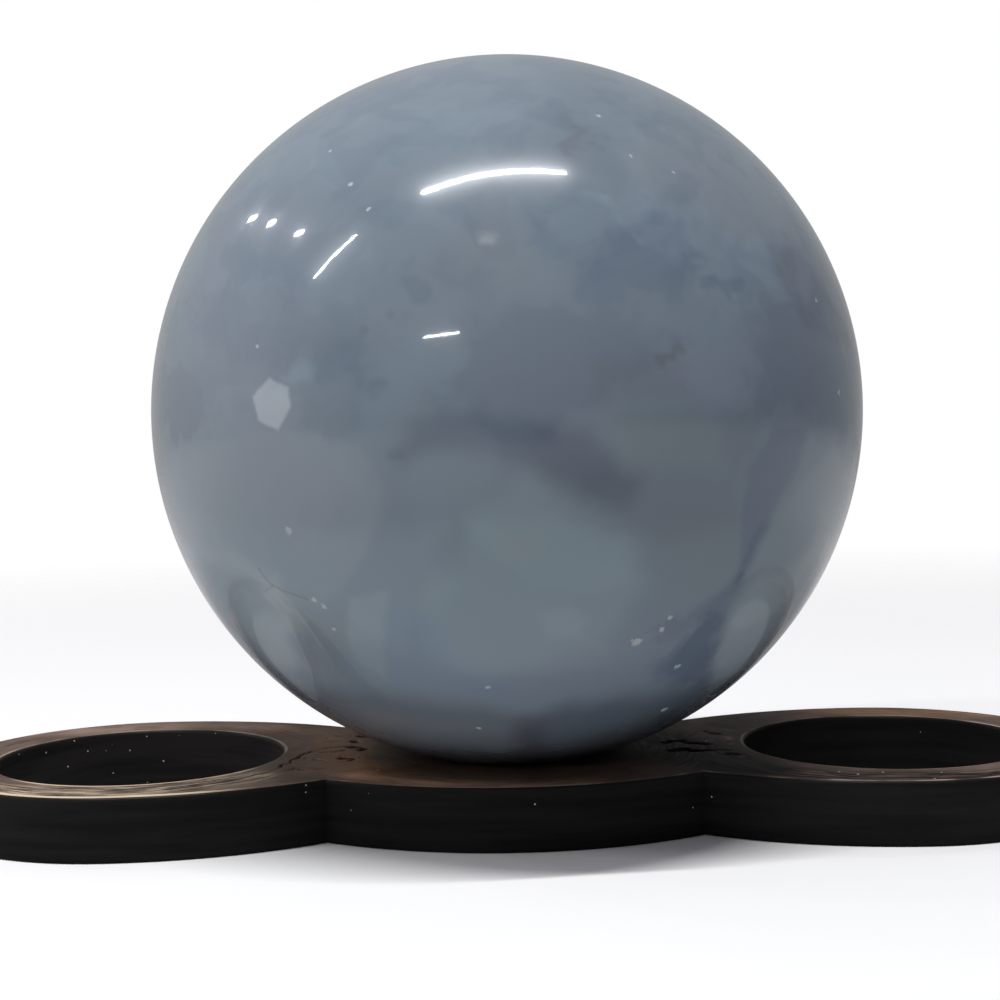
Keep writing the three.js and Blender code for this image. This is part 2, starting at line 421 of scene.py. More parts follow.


# Clouds in the stone that show from the front, and painted light and shade: lighter rims and a
# darker foot, each marked where it stands. Each has the kind of its border, how soft that is, how
# far the cloud swells over its corners, its share of red, green and blue, and its corners in
# millimetres, right of and above the ball's middle.
CLOUDS_AND_PAINTED_LIGHT = [
    # Left: a pale lobe, with darker and mottled stone over it
    ("soft", 1.0, 0.0, (1.14, 1.11, 1.08), [(-28, -2.5), (-19, -1.5), (-14, -1.5), (-10.5, -2),
     (-9.5, -3.5), (-9, -6), (-9.5, -8.5), (-10.5, -10.5), (-12, -12.5), (-14.5, -14), (-18, -13.5),
     (-22, -12.5), (-26, -9)]),
    ("soft", 3.0, 0.0, (1.16, 1.16, 1.14), [(-25, -8.5), (-5, -8.5), (-4.5, -13), (-8, -17), (-14, -16),
     (-19, -12.5)]),
    ("soft", 2.2, 0.0, (1.29, 1.27, 1.23), [(-27, -9.5), (-21, -10.5), (-17.5, -12), (-16.5, -15),
     (-16.5, -21), (-20, -20), (-24, -16)]),
    ("ragged", 2.0, 0.0, (0.93, 0.93, 0.94), [(-25, 6), (-8, 6), (-9, 3), (-22, 1)]),
    ("ragged", 5.0, 0.0, (1.07, 1.05, 1.04), [(-28, 1), (-12, 2), (-10.5, -4), (-14, -9), (-24, -8)]),
    ("ragged", 1.4, 0.0, (0.84, 0.84, 0.88), [(-30, 3.5), (-24.5, 3.5), (-22, 2), (-21.5, 0), (-22.5, -1.5),
     (-30, -1.5)]),
    ("ragged", 2.0, 0.0, (0.89, 0.90, 0.93), [(-24, 10), (-14, 9), (-10.5, 7), (-9, 5.5), (-11.5, 4),
     (-23, 5)]),
    ("ragged", 1.2, 0.0, (0.90, 0.92, 0.94), [(-15, 2.5), (-10.5, 3), (-9.5, 1), (-10.5, -1.5), (-14, -1.5),
     (-15.5, 0.5)]),
    ("ragged", 1.2, 0.0, (0.86, 0.91, 0.94), [(-13, 4.5), (-10.5, 5), (-9.5, 3), (-10.5, 1.5), (-12.5, 1.5),
     (-13.5, 3)]),
    ("ragged", 2.2, 0.0, (1.01, 1.06, 1.06), [(-9.5, 3), (-6.5, 4.5), (-3, 4.5), (-3, 3.5), (-5.5, 1.5),
     (-8, -0.5), (-10.5, -1), (-10, 1.5)]),
    ("soft", 2.0, 0.0, (0.90, 0.94, 0.99), [(-21, 13), (-15.5, 11.5), (-14, 9.5), (-19.5, 9.5)]),
    ("ragged", 0.8, 0.8, (0.87, 0.89, 0.91), [(-6.2, 8.5), (-5.8, 8.5)]),
    ("ragged", 0.8, 0.7, (0.86, 0.86, 0.88), [(-9.2, 6), (-8.8, 6)]),
    ("ragged", 0.9, 0.0, (1.22, 1.22, 1.23), [(-15.5, 3), (-13.5, 4), (-12.5, 2.5), (-13.5, 1.5),
     (-15, 2)]),
    # Painted reflection: the left rim lighter, where the polish mirrors the room at a grazing angle
    ("soft", 2.0, 0.0, (1.10, 1.06, 1.03), [(-31, 6), (-27.4, 6), (-27.4, -6), (-31, -8)]),
    # Middle: slate over a dark band with a pale lens in it
    ("ragged", 1.8, 0.0, (0.88, 0.88, 0.91), [(-3, 4), (-2.5, 6), (0, 7), (2.5, 7.5), (5, 6.5), (8.5, 7),
     (11, 5.5), (10, 3.5), (8, 1.5), (5.5, -1), (1, -1), (-3, 1), (-5.5, 1), (-4.5, 2.5)]),
    ("soft", 2.0, 0.0, (0.73, 0.74, 0.78), [(-8.2, -3), (-6.8, -1), (-5, 0), (-2, 0), (0, -0.8), (3, -1.2),
     (5.5, -1.3), (6.5, -2.5), (8, -4), (9.5, -5), (8.5, -6.8), (5, -6.2), (2.5, -5), (0.5, -3.8),
     (-1.5, -2.7), (-3.5, -2.3), (-6, -2.8), (-7.5, -3.6)]),
    ("soft", 2.8, 0.0, (0.89, 0.88, 0.90), [(2, -4.5), (8, -3.8), (12, -4.2), (17, -4.6), (17, -8),
     (11, -9.5), (5, -8)]),
    ("soft", 1.6, 0.1, (0.80, 0.84, 0.90), [(-1.8, -1.1), (0, -1.2), (2.8, -1.5), (3, -2.4), (1.5, -2.8),
     (-0.5, -2.4)]),
    ("soft", 2.0, 0.0, (0.93, 0.91, 0.93), [(1, -2.4), (3, -1.7), (5, -1.8), (6, -3.2), (7.5, -4.8),
     (6, -5.2), (3.5, -4.4), (1.5, -3.4)]),
    ("soft", 0.5, 0.3, (0.80, 0.85, 0.88), [(-8.3, -2.8), (-7.9, -2.8)]),
    ("soft", 1.6, 0.0, (0.98, 0.96, 0.92), [(7, -1), (9, -0.3), (14, -0.5), (15, -1.5), (14.5, -3.6),
     (9.5, -3.8), (7.5, -2.8)]),
    ("soft", 1.6, 0.0, (0.90, 0.89, 0.90), [(14.8, -0.3), (18, -0.3), (18, -3.5), (16.5, -4.5),
     (15, -3.5)]),
    # The pale green heart under it
    ("soft", 2.4, 0.0, (1.16, 1.18, 1.14), [(-3, -7.5), (1, -5), (4, -5.5), (7.5, -7.5), (9.5, -9.5),
     (10, -12.5), (8, -15), (6.5, -17.5), (3, -18.5), (-0.5, -19), (-4, -19), (-6.5, -17.5), (-6, -13.5),
     (-4, -11)]),
    ("soft", 1.4, 0.0, (1.07, 1.08, 1.05), [(-3, -8), (0.5, -7.5), (3.5, -7.5), (8, -9), (9, -12), (6, -13),
     (1, -12), (-2, -10)]),
    ("soft", 1.0, 0.0, (1.10, 1.10, 1.10), [(2, -15), (4, -14), (5.5, -15), (5, -16.5), (2.5, -16.5)]),
    ("soft", 1.2, 0.0, (1.05, 1.00, 0.98), [(-1, -9), (1, -8.5), (2.5, -9.5), (1, -10.5), (-1, -10.5)]),
    ("soft", 2.6, 0.0, (1.04, 1.06, 1.05), [(-7, -3.5), (-4.5, -3), (-1.5, -4), (-1, -5), (-2, -9),
     (-6, -9), (-7, -5)]),
    ("soft", 0.8, 0.0, (0.96, 0.99, 1.04), [(-9, -14), (-5, -15.5), (-3.5, -19), (1, -20), (-1.5, -21.5),
     (-6.5, -21), (-9, -20.5)]),
    # Right: brown-grey, edged by a dark stroke, and the pale rim outside it
    ("soft", 0.8, 0.0, (1.00, 0.98, 0.96), [(8, -6.5), (17, -7), (17, -11.5), (13.5, -14.5), (11, -14.5),
     (10, -10)]),
    ("soft", 0.8, 0.0, (0.80, 0.81, 0.89), [(17.5, -4.5), (19.5, -2), (22.5, -2.5), (21, -5.5), (18.5, -10),
     (16.5, -13), (17, -9)]),
    ("soft", 0.8, 0.4, (0.80, 0.81, 0.88), [(19, -9), (16.5, -13)]),
    ("soft", 0.8, 0.5, (0.74, 0.75, 0.83), [(16.5, -13), (13.5, -15.5)]),
    ("ragged", 1.0, 0.4, (0.80, 0.81, 0.87), [(13.5, -15.5), (10, -16.5)]),
    ("soft", 1.0, 0.0, (1.14, 1.13, 1.08), [(19, -9), (21.5, -6.5), (25, -3), (27, -5.5), (24, -12),
     (21, -16), (17, -17), (15.5, -17), (17, -13.5)]),
    ("soft", 2.2, 0.0, (1.34, 1.31, 1.24), [(18.5, -13.5), (21.5, -12.5), (24, -10.5), (26.5, -11),
     (22, -18), (18.5, -21.5), (15, -20.5), (16, -16)]),
    # Lower right: dark blue, and painted shade at the ball's foot, where the stand shadows it and the polish
    # mirrors the dark stand
    ("ragged", 2.0, 0.0, (0.72, 0.74, 0.83), [(12, -16.5), (15, -15.5), (16, -18.5), (15.5, -21.5),
     (11.5, -21), (10, -19)]),
    ("soft", 2.4, 0.0, (0.60, 0.59, 0.62), [(0, -23.5), (4, -22), (9, -21.8), (13, -21.5), (20, -22),
     (20, -30), (0, -30)]),
    ("soft", 2.0, 0.0, (0.62, 0.61, 0.60), [(-9, -27), (-3, -26.6), (4, -26.2), (9, -25), (13, -23.5),
     (13, -31), (-9, -31)]),
    # Lower left: warm and pale, with a brown cloud, and brown painted shade at its foot, where the stand
    # shadows it and the polish mirrors the dark stand
    ("soft", 1.6, 0.0, (1.28, 1.24, 1.16), [(-21, -13.5), (-17.5, -13), (-15, -15), (-16.5, -17),
     (-15.5, -19.5), (-19, -20), (-22, -16)]),
    ("ragged", 1.2, 0.0, (0.99, 0.95, 0.92), [(-16, -14), (-13, -14), (-12, -15.5), (-12.5, -17.5),
     (-11, -19.5), (-13.5, -20), (-15.5, -18)]),
    ("soft", 0.6, 0.0, (1.13, 1.13, 1.10), [(-12, -13.5), (-9, -13), (-9.5, -20), (-11, -19),
     (-12, -16.5)]),
    ("soft", 2.0, 0.0, (0.80, 0.76, 0.74), [(-20, -22), (-9.5, -21), (-1.5, -22), (2.5, -23), (1.5, -29),
     (-16, -28)]),
    # Upper middle: a warm haze with a pale spot
    ("ragged", 2.0, 0.0, (1.01, 0.97, 0.96), [(-4, 12.5), (-1.5, 13.5), (2.5, 13.5), (3, 10.5), (-0.5, 7.5),
     (-3.5, 8), (-6.5, 9), (-5.5, 11.5)]),
    ("soft", 0.5, 0.3, (1.65, 1.54, 1.42), [(-1.8, 11.8), (-1, 11.8)]),
    # Upper right: blue clouds, pale patches between them, and slate towards the rim
    ("ragged", 1.4, 0.0, (0.83, 0.87, 0.92), [(5, 10), (6.5, 12), (9.5, 13), (12.5, 13.5), (14, 12),
     (13.5, 10), (10.5, 8), (7.5, 7), (5, 8)]),
    ("ragged", 1.2, 0.0, (0.93, 0.95, 0.97), [(1.5, 13.5), (5, 14.5), (8.5, 14), (9.5, 13), (6.5, 12),
     (5, 10), (3, 11)]),
    ("ragged", 1.0, 0.0, (1.03, 1.07, 1.08), [(14, 11.5), (17, 12.5), (19.5, 11.5), (21, 9.5), (19, 7.5),
     (15.5, 6.5), (14, 8.5)]),
    ("soft", 0.6, 0.3, (1.14, 1.14, 1.12), [(6.5, 15.5), (7.5, 15)]),
    ("soft", 0.6, 0.3, (1.14, 1.14, 1.12), [(7.5, 15), (8.5, 13.5)]),
    ("ragged", 0.8, 0.7, (0.76, 0.79, 0.83), [(15.3, 8), (15.7, 8)]),
    ("ragged", 0.7, 0.5, (0.84, 0.84, 0.86), [(12.8, 5.5), (13.2, 5.5)]),
    ("ragged", 2.0, 0.4, (0.87, 0.87, 0.91), [(18, 6), (21.5, 8), (24, 5.5), (32, 3), (32, -1.5),
     (22.5, -1.5), (20.5, -0.5), (18.5, 0.5), (17.5, 3.5)]),
    ("soft", 1.0, 0.0, (0.85, 0.84, 0.88), [(19.5, 12), (22.5, 12), (26, 8), (28, 4), (23, 5.5),
     (20.5, 8.5)]),
    ("ragged", 1.2, 0.0, (1.09, 1.03, 1.09), [(12.5, 4), (17.5, 4.5), (18, 2), (17, -0.5), (14.5, 0.5),
     (12.5, 2)]),
    ("ragged", 1.2, 0.0, (1.03, 1.04, 1.06), [(10, 6), (13, 7), (16, 6), (15.5, 4.5), (12, 4.5),
     (9.5, 4.5)]),
    ("soft", 1.6, 0.0, (0.96, 0.93, 0.92), [(6, 3.5), (9.5, 4), (12.5, 3.5), (12.5, 1), (6, 0.5)]),
    ("ragged", 0.6, 0.3, (0.78, 0.75, 0.74), [(10.5, 4), (12.5, 4.5)]),
    # Painted reflection: the right rim lighter low down, where the polish mirrors the room at a grazing angle
    ("soft", 1.6, 0.0, (1.12, 1.08, 1.05), [(27.6, -7), (27.8, 2), (31, 2), (31, -7)]),
    ("soft", 3.0, 0.0, (0.84, 0.83, 0.84), [(22, 15), (27, 11), (31, 9), (31, 3), (27, 4), (24, 8)]),
    ("ragged", 2.0, 0.0, (1.11, 1.11, 1.11), [(9, 15), (13, 14.5), (15.5, 12.5), (13.5, 11), (10.5, 12)]),
    # Top: pale on the right, with dark, brown and blue clouds
    ("soft", 5.0, 0.0, (1.13, 1.12, 1.10), [(-22, 19), (-12, 17), (0, 19), (5, 22), (3, 27), (0, 32),
     (-20, 32)]),
    ("soft", 2.0, 0.0, (1.11, 1.08, 1.05), [(8.5, 20), (13, 21.5), (18.5, 19), (23, 13.5), (18, 12.5),
     (13.5, 15), (9, 16.5)]),
    ("ragged", 1.2, 0.0, (0.87, 0.89, 0.91), [(2, 22.5), (4, 23), (6.5, 22.5), (7, 20.5), (6, 19.5),
     (3, 20)]),
    ("ragged", 1.0, 0.0, (0.93, 0.89, 0.88), [(4.5, 20.5), (7, 21), (7, 19.5), (5.5, 19)]),
    ("ragged", 1.4, 0.0, (0.92, 0.96, 0.98), [(-9, 21), (-5.5, 22), (-2, 21), (-2.5, 19.5), (-6.5, 19),
     (-9, 18.5)]),
]
# How far the clouds' borders wander: size and push of each step in millimetres.
WANDERS = {"soft": [(7.0, 0.5), (2.0, 0.3)], "ragged": [(7.0, 0.5), (2.4, 2.0), (0.9, 1.1)]}
# The pale crystal, with its corners anticlockwise in the same millimetres, and the scratches, by
# longitude and latitude, with their half width, softness and share.
CRYSTAL = [(-17.1, 2.5), (-18.3, 1.3), (-17.9, -0.3), (-16.6, -0.9), (-15.7, 0.5), (-15.8, 1.8)]
SCRATCHES = [
    ([(-42.5, -22.5), (-41, -25), (-34, -27)], 0.10, 0.09, (0.78, 0.80, 0.80)),
    ([(-43, -26), (-40.5, -25)], 0.06, 0.08, (0.85, 0.86, 0.87)),
]


def wander(places, steps):
    """The places, pushed aside by smooth noise, in the same way at every run."""
    noise.seed_set(NOISE_SEED)
    for size, push in steps:
        pushes = [noise.noise_vector(Vector(place) / size) * push for place in places]
        places = places + numpy.array(pushes)
    return places


def depth_inside(places, corners):
    """How deep each place lies inside the outline, negative outside."""
    nearest = numpy.full(len(places), numpy.inf)
    inside = numpy.zeros(len(places), dtype=bool)
    for first, second in zip(corners, corners[1:] + corners[:1]):
        edge = numpy.subtract(second, first)
        start = places - numpy.array(first)
        along = numpy.clip(start @ edge / (edge @ edge), 0.0, 1.0)
        nearest = numpy.minimum(nearest, numpy.linalg.norm(start - along[:, None] * edge, axis=1))
        level = (start[:, 1] < 0.0) != (start[:, 1] < edge[1])
        inside ^= level & (start[:, 0] < start[:, 1] * edge[0] / (edge[1] or 1.0))
    return numpy.where(inside, nearest, -nearest)


def smooth_step(values):
    clamped = numpy.clip(values, 0.0, 1.0)
    return clamped * clamped * (3.0 - 2.0 * clamped)


def paint_clouds_light_and_shade(bm):
    """Keeps the colour of the front's clouds, with the painted light on the rims and the painted shade at the
    foot, on the ball's vertices.
    """
    layer = bm.verts.layers.float_color.new("clouds")
    behind, fading = 1.0, 6.0  # the clouds end this far behind the middle, and fade over this much
    verts = [vert for vert in bm.verts if vert.co.y < behind * MM]
    places = numpy.array([vert.co for vert in verts]) / MM
    front = smooth_step((behind - places[:, 1]) / fading)
    styles = {style: wander(places, steps)[:, (0, 2)] for style, steps in WANDERS.items()}
    colours = numpy.ones((len(verts), 4))
    for style, softness, swell, share, corners in CLOUDS_AND_PAINTED_LIGHT:
        depth = depth_inside(styles[style], corners) + swell
        mask = smooth_step(0.5 + depth / softness) * front
        colours[:, :3] *= 1.0 + mask[:, None] * (numpy.array(share) - 1.0)
    for vert in bm.verts:
        vert[layer] = (1.0, 1.0, 1.0, 1.0)
    for vert, colour_in in zip(verts, colours):
        vert[layer] = colour_in


def facet(tree, coords, corners, softness):
    """A mask that is 1 inside an outline on the front with no hollow side."""
    outside = None
    for first, second in zip(corners, corners[1:] + corners[:1]):
        edge = Vector(second) - Vector(first)
        outward = Vector((edge.y, 0.0, -edge.x)).normalized()
        start = outward.dot(Vector((first[0], 0.0, first[1]))) * MM
        gap = maths(tree, "SUBTRACT", vector_maths(tree, "DOT_PRODUCT", coords, outward), start)
        outside = gap if outside is None else maths(tree, "MAXIMUM", outside, gap)
    return fade(tree, outside, 0.0, softness)


def blotched(tree, soft, ragged, back, stone):
    """The stone with ragged blotches on its upper part, full at the back and faint in front."""
    height = vector_maths(tree, "DOT_PRODUCT", soft, (0.0, 0.25, 1.0))
    upper = rise(tree, height, -2.0 * MM, 5.0 * MM)
    strength = maths(tree, "MULTIPLY", upper, fade(tree, back, 0.0, 1.0, 0.55, 1.0))
    dark = rise(tree, noise_value(tree, ragged, 230.0), 0.47, 0.60)
    stone = shade(tree, maths(tree, "MULTIPLY", dark, strength), stone, (0.82, 0.85, 0.89))
    light = fade(tree, noise_value(tree, ragged, 150.0), 0.40, 0.50)
    return shade(tree, maths(tree, "MULTIPLY", light, strength), stone, (1.10, 1.11, 1.10))


def cloudy_stone(settings):
    material, tree, shader = new_material("cloudy_blue_grey_stone")
    centring = {"Vector": object_coords(tree), "Location": -BALL_CENTRE}
    coords = add(tree, "ShaderNodeMapping", centring).outputs["Vector"]
    soft = bend(tree, coords, 110.0, 6.0 * MM)
    ragged = bend(tree, bend(tree, soft, 380.0, 1.8 * MM), 1400.0, 0.6 * MM)
    sharp = bend(tree, coords, 900.0, 0.25 * MM)
    back = rise(tree, axis_value(tree, coords, "Y"), -8.0 * MM, 1.0 * MM)
    # Broad clouds at the back alone, because the front has clouds of its own
    broad = fade(tree, noise_value(tree, soft, 46.0), 0.38, 0.62, -0.5, 0.5)
    broad = maths(tree, "ADD", maths(tree, "MULTIPLY", broad, back), 0.5)
    stone = blend_colour(tree, broad, settings.deep, settings.pale)
    stone = blotched(tree, soft, ragged, back, stone)
    violet = rise(tree, noise_value(tree, soft, 70.0, 1.0), 0.42, 0.60)
    stone = shade(tree, violet, stone, (1.03, 1.00, 1.01))
    # The front's clouds, with painted light on the rims and painted shade at the foot
    stone = vector_maths(tree, "MULTIPLY", stone, attribute(tree, "clouds", "Color"))
    crystal = maths(tree, "MULTIPLY", facet(tree, sharp, CRYSTAL, 0.35 * MM), fade(tree, back, 0.0, 1.0))
    stone = shade(tree, crystal, stone, (1.76, 1.64, 1.53))
    for places, half_width, softness, share in SCRATCHES:
        line = trail(tree, sharp, [on_ball(*place) for place in places], half_width, softness)
        stone = shade(tree, line, stone, share)
    stone = shade(tree, specks(tree, ragged, 420.0, 0.02, 0.12), stone, (0.80, 0.80, 0.82))
    chip = attribute(tree, "chip")
    inputs = {
        "Base Color": blend_colour(tree, chip, stone, settings.fresh),
        "Roughness": fade(tree, chip, 0.0, 1.0, settings.polish, 0.5),
        "Coat Weight": fade(tree, chip, 0.0, 0.7, settings.glow, 0.0),
        "Coat Roughness": 0.2,
        "Normal": roughened(tree, noise_value(tree, coords, 600.0, 1.0), settings.ripple),
    }
    feed(tree, shader, inputs)
    return material


# ---- Ring stand ----

# How many straight steps make each arc of the outline, and each hole
OUTER_STEPS = 40
MIDDLE_STEPS = 72
END_STEPS = 96
HOLE_STEPS = 144


def scallop(crest_half_width, run, neck_half_width):
    """How far behind the row's middle the arc over a ring's side has its centre, and half the angle
    that the arc turns through."""
    bulge = crest_half_width - neck_half_width
    radius = (run * run + bulge * bulge) / (2 * bulge)
    return radius - crest_half_width, math.asin(run / radius)


def sweep(bm, vert, centre_x, centre_y, angle, steps):
    """Draws an arc on from a vertex, and returns the arc's last vertex."""
    centre = (centre_x, centre_y, vert.co.z)
    upwards = (0.0, 0.0, 1.0)
    spun = bmesh.ops.spin(
        bm, geom=[vert], cent=centre, axis=upwards, angle=angle, steps=steps, use_merge=False
    )
    return spun["geom_last"][0]


def draw_outline(bm, settings):
    """The board's outline, anticlockwise from the near crest of the left ring, and its holes."""
    neck = settings.neck_half_width
    outer_back, outer_half = scallop(END_RADIUS, RING_PITCH - settings.neck_x, neck)
    middle_back, middle_half = scallop(settings.middle_half_width, settings.neck_x, neck)
    vert = bm.verts.new((-RING_PITCH, -END_RADIUS, BOARD_TOP))
    for side in (1.0, -1.0):
        vert = sweep(bm, vert, -side * RING_PITCH, side * outer_back, outer_half, OUTER_STEPS)
        vert = sweep(bm, vert, 0.0, side * middle_back, 2 * middle_half, MIDDLE_STEPS)
        vert = sweep(bm, vert, side * RING_PITCH, side * outer_back, outer_half, OUTER_STEPS)
        vert = sweep(bm, vert, side * RING_PITCH, 0.0, math.pi, END_STEPS)
    bmesh.ops.remove_doubles(bm, verts=bm.verts, dist=0.01 * MM)
    holes = [
        (-RING_PITCH, settings.hole_radius),
        (0.0, settings.seat_radius - settings.arris),
        (RING_PITCH, settings.hole_radius),
    ]
    for x, radius in holes:
        place = Matrix.Translation((x, 0.0, BOARD_TOP))
        bmesh.ops.create_circle(bm, segments=HOLE_STEPS, radius=radius, matrix=place)


def is_top(face):
    """Whether the face belongs to the flat top."""
    return face.normal.z > 0.99


def dice_top(bm, low, high, step):
    """Cuts the top into small squares between two corners, so that it can be carved."""

    def cut(axis, place, whole_top=False):
        faces = []
        for face in bm.faces:
            middle = face.calc_center_median()
            inside = low[0] < middle.x < high[0] and low[1] < middle.y < high[1]
            if is_top(face) and (inside or whole_top):
                faces.append(face)
        parts = list(dict.fromkeys(part for face in faces for part in (face, *face.edges, *face.verts)))
        normal = Vector((1.0, 0.0, 0.0)) if axis == 0 else Vector((0.0, 1.0, 0.0))
        bmesh.ops.bisect_plane(
            bm, geom=parts, dist=0.001 * MM, plane_co=normal * place, plane_no=normal
        )

    for axis in (0, 1):
        cut(axis, low[axis], whole_top=True)
        cut(axis, high[axis], whole_top=True)
    for axis in (0, 1):
        count = round((high[axis] - low[axis]) / step)
        for index in range(1, count):
            cut(axis, low[axis] + (high[axis] - low[axis]) * index / count)


# Splits and hollows in the wood at both necks: the places that each runs through (x and y in
# millimetres), its half width, and its depth as a share of the split depth.
SPLITS = [
    ([(-19.4, -6.5), (-18.8, -4.5), (-18.2, -1.8), (-17.4, 0)], 0.12, 0.8),
    ([(-17.4, 0), (-15.5, -0.1), (-14.5, 0.3)], 0.2, 1.0),
    ([(-17.2, 1.1), (-16.5, 1.4)], 0.15, 0.5),
    ([(-16.5, 1.6), (-14.4, 2.2), (-13.2, 1.8)], 0.14, 0.9),
    ([(-14, 1.9), (-13.3, 1.8)], 0.4, 1.0),
    ([(-17.8, -2.8), (-16.8, -3.2)], 0.15, 0.8),
    ([(-16.8, -3.2), (-15.8, -4), (-14.3, -4.5)], 0.22, 1.0),
    ([(-18.1, -1.6), (-17.2, -1.2), (-15.4, -1.4)], 0.08, 0.4),
    ([(-16.9, -2.2), (-15.2, -2.5)], 0.08, 0.4),
    ([(-14.4, -3), (-13.8, -3.1)], 0.45, 1.0),
    ([(-14.6, -2.2), (-14.3, -3)], 0.1, 0.6),
    ([(-13.8, -3), (-13, -2.9)], 0.18, 0.8),
    ([(-13.8, -4.2), (-13.4, -3.7)], 0.2, 0.7),
    ([(-17.5, -7.4), (-16.9, -7.6)], 0.25, 0.8),
    ([(-16.9, -7.6), (-14.8, -7.2)], 0.15, 0.6),
    ([(-18.8, -5.2), (-18, -5.6), (-17.1, -5.9)], 0.12, 0.6),
    ([(-18.6, -7.9), (-17.9, -7)], 0.12, 0.5),
    ([(-15.6, 7.3), (-14.8, 7)], 0.25, 0.8),
    ([(-13.9, 7.1), (-13.2, 6.8)], 0.35, 0.9),
    ([(-14.2, 4.8), (-13.8, 4)], 0.35, 0.9),
    ([(-13.1, 0.6), (-12.8, 1)], 0.35, 0.9),
    ([(-16.6, 4.4), (-15.4, 4.8)], 0.15, 0.4),
    ([(-16.8, 6.6), (-16.2, 5.6)], 0.12, 0.4),
    ([(13, 0.8), (13.5, 1.3), (14.4, 1.5), (14.9, 0.7), (16.4, -0.2)], 0.35, 1.0),
    ([(13.4, -3), (14.4, -2.3)], 0.5, 1.0),
    ([(14.4, -2.3), (15, -3.1), (16.4, -2.9)], 0.35, 1.0),
    ([(16.2, -2.9), (17.8, -3)], 0.15, 0.6),
    ([(17.1, 6), (17.5, 4.9), (18.3, 4.4)], 0.3, 0.6),
    ([(18, -4.6), (18.6, -5.2)], 0.25, 0.7),
]
# The two fields of the top that they lie in, how finely these are diced, and how far the splits
# wander: size and push of each step. All are in millimetres.
SPLIT_FIELDS = [((-19.5, -8.6), (-12.4, 8.2)), ((12.5, -6.0), (18.8, 6.8))]
SPLIT_DICE = 0.15
SPLIT_WANDER = [(1.0, 0.35), (0.25, 0.12)]


def split_shares(places):
    """How deep the wood is split at each place in millimetres, as a share of the split depth."""
    bent = wander(places, SPLIT_WANDER)[:, :2]
    shares = numpy.zeros(len(bent))
    for stops, half_width, depth in SPLITS:
        # A split is an outline that goes out along its stops and comes back the same way.
        gap = -depth_inside(bent, stops + stops[-2:0:-1])
        shares = numpy.maximum(shares, depth * numpy.clip(1.5 - gap / half_width, 0.0, 1.0))
    return shares


def split_necks(bm, settings):
    """Carves the splits, and keeps how deep each place is split for the material."""
    split = bm.verts.layers.float.new("split")
    verts = set()
    for low, high in SPLIT_FIELDS:
        dice_top(bm, [part * MM for part in low], [part * MM for part in high], SPLIT_DICE * MM)
    for vert in bm.verts:
        x, y = vert.co.x / MM, vert.co.y / MM
        if any(low[0] < x < high[0] and low[1] < y < high[1] for low, high in SPLIT_FIELDS):
            if all(is_top(face) for face in vert.link_faces):
                verts.add(vert)
    verts = sorted(verts, key=lambda vert: tuple(vert.co))
    shares = split_shares(numpy.array([vert.co for vert in verts]) / MM)
    for vert, share in zip(verts, shares):
        vert[split] = share
        vert.co.z -= settings.split_depth * share


def mark_edges(bm):
    """Keeps 1 on every vertex along the top's edges, and 0 half a millimetre inside them."""
    top = [face for face in bm.faces if is_top(face)]
    bmesh.ops.inset_region(
        bm, faces=top, thickness=0.5 * MM, use_boundary=True, use_even_offset=True
    )
    bm.normal_update()
    edge = bm.verts.layers.float.new("edge")
    for vert in bm.verts:
        vert[edge] = 0.0 if all(is_top(face) for face in vert.link_faces) else 1.0


def make_stand_mesh(settings):
    bm = bmesh.new()
    draw_outline(bm, settings)
    bmesh.ops.triangle_fill(bm, edges=bm.edges[:], use_beauty=True, normal=(0.0, 0.0, 1.0))
    shared = [e for e in bm.edges if len(e.link_faces) == 2]
    bmesh.ops.dissolve_limit(bm, angle_limit=0.01, verts=[], edges=shared)
    grown = bmesh.ops.extrude_face_region(bm, geom=bm.faces[:], use_keep_orig=True)
    lowered = [item for item in grown["geom"] if isinstance(item, bmesh.types.BMVert)]
    bmesh.ops.translate(bm, verts=lowered, vec=(0.0, 0.0, BOARD_LOW.z - BOARD_TOP))
    bmesh.ops.recalc_face_normals(bm, faces=bm.faces[:])
    level = [e for e in bm.edges if abs(e.verts[0].co.z - e.verts[1].co.z) < 0.1 * MM]
    rims = [e for e in level if len(e.link_faces) == 2 and e.calc_face_angle() > math.radians(60)]
    bmesh.ops.bevel(
        bm, geom=rims, offset=settings.arris, segments=3, profile=0.5, affect="EDGES", material=-1,
        clamp_overlap=False,
    )
    bm.normal_update()
    mark_edges(bm)
    split_necks(bm, settings)
    bm.normal_update()
    edge = bm.verts.layers.float["edge"]
    half_way = (BOARD_TOP + BOARD_LOW.z) / 2
    for face in bm.faces:
        # Steep faces are black, but for those inside the splits, which is where the edge layer is 0.
        steep = abs(face.normal.z) < 0.75 and all(vert[edge] > 0.5 for vert in face.verts)
        face.material_index = 1 if steep or face.calc_center_median().z < half_way else 0
    return finish_mesh(bm, "ring_board", math.radians(12))


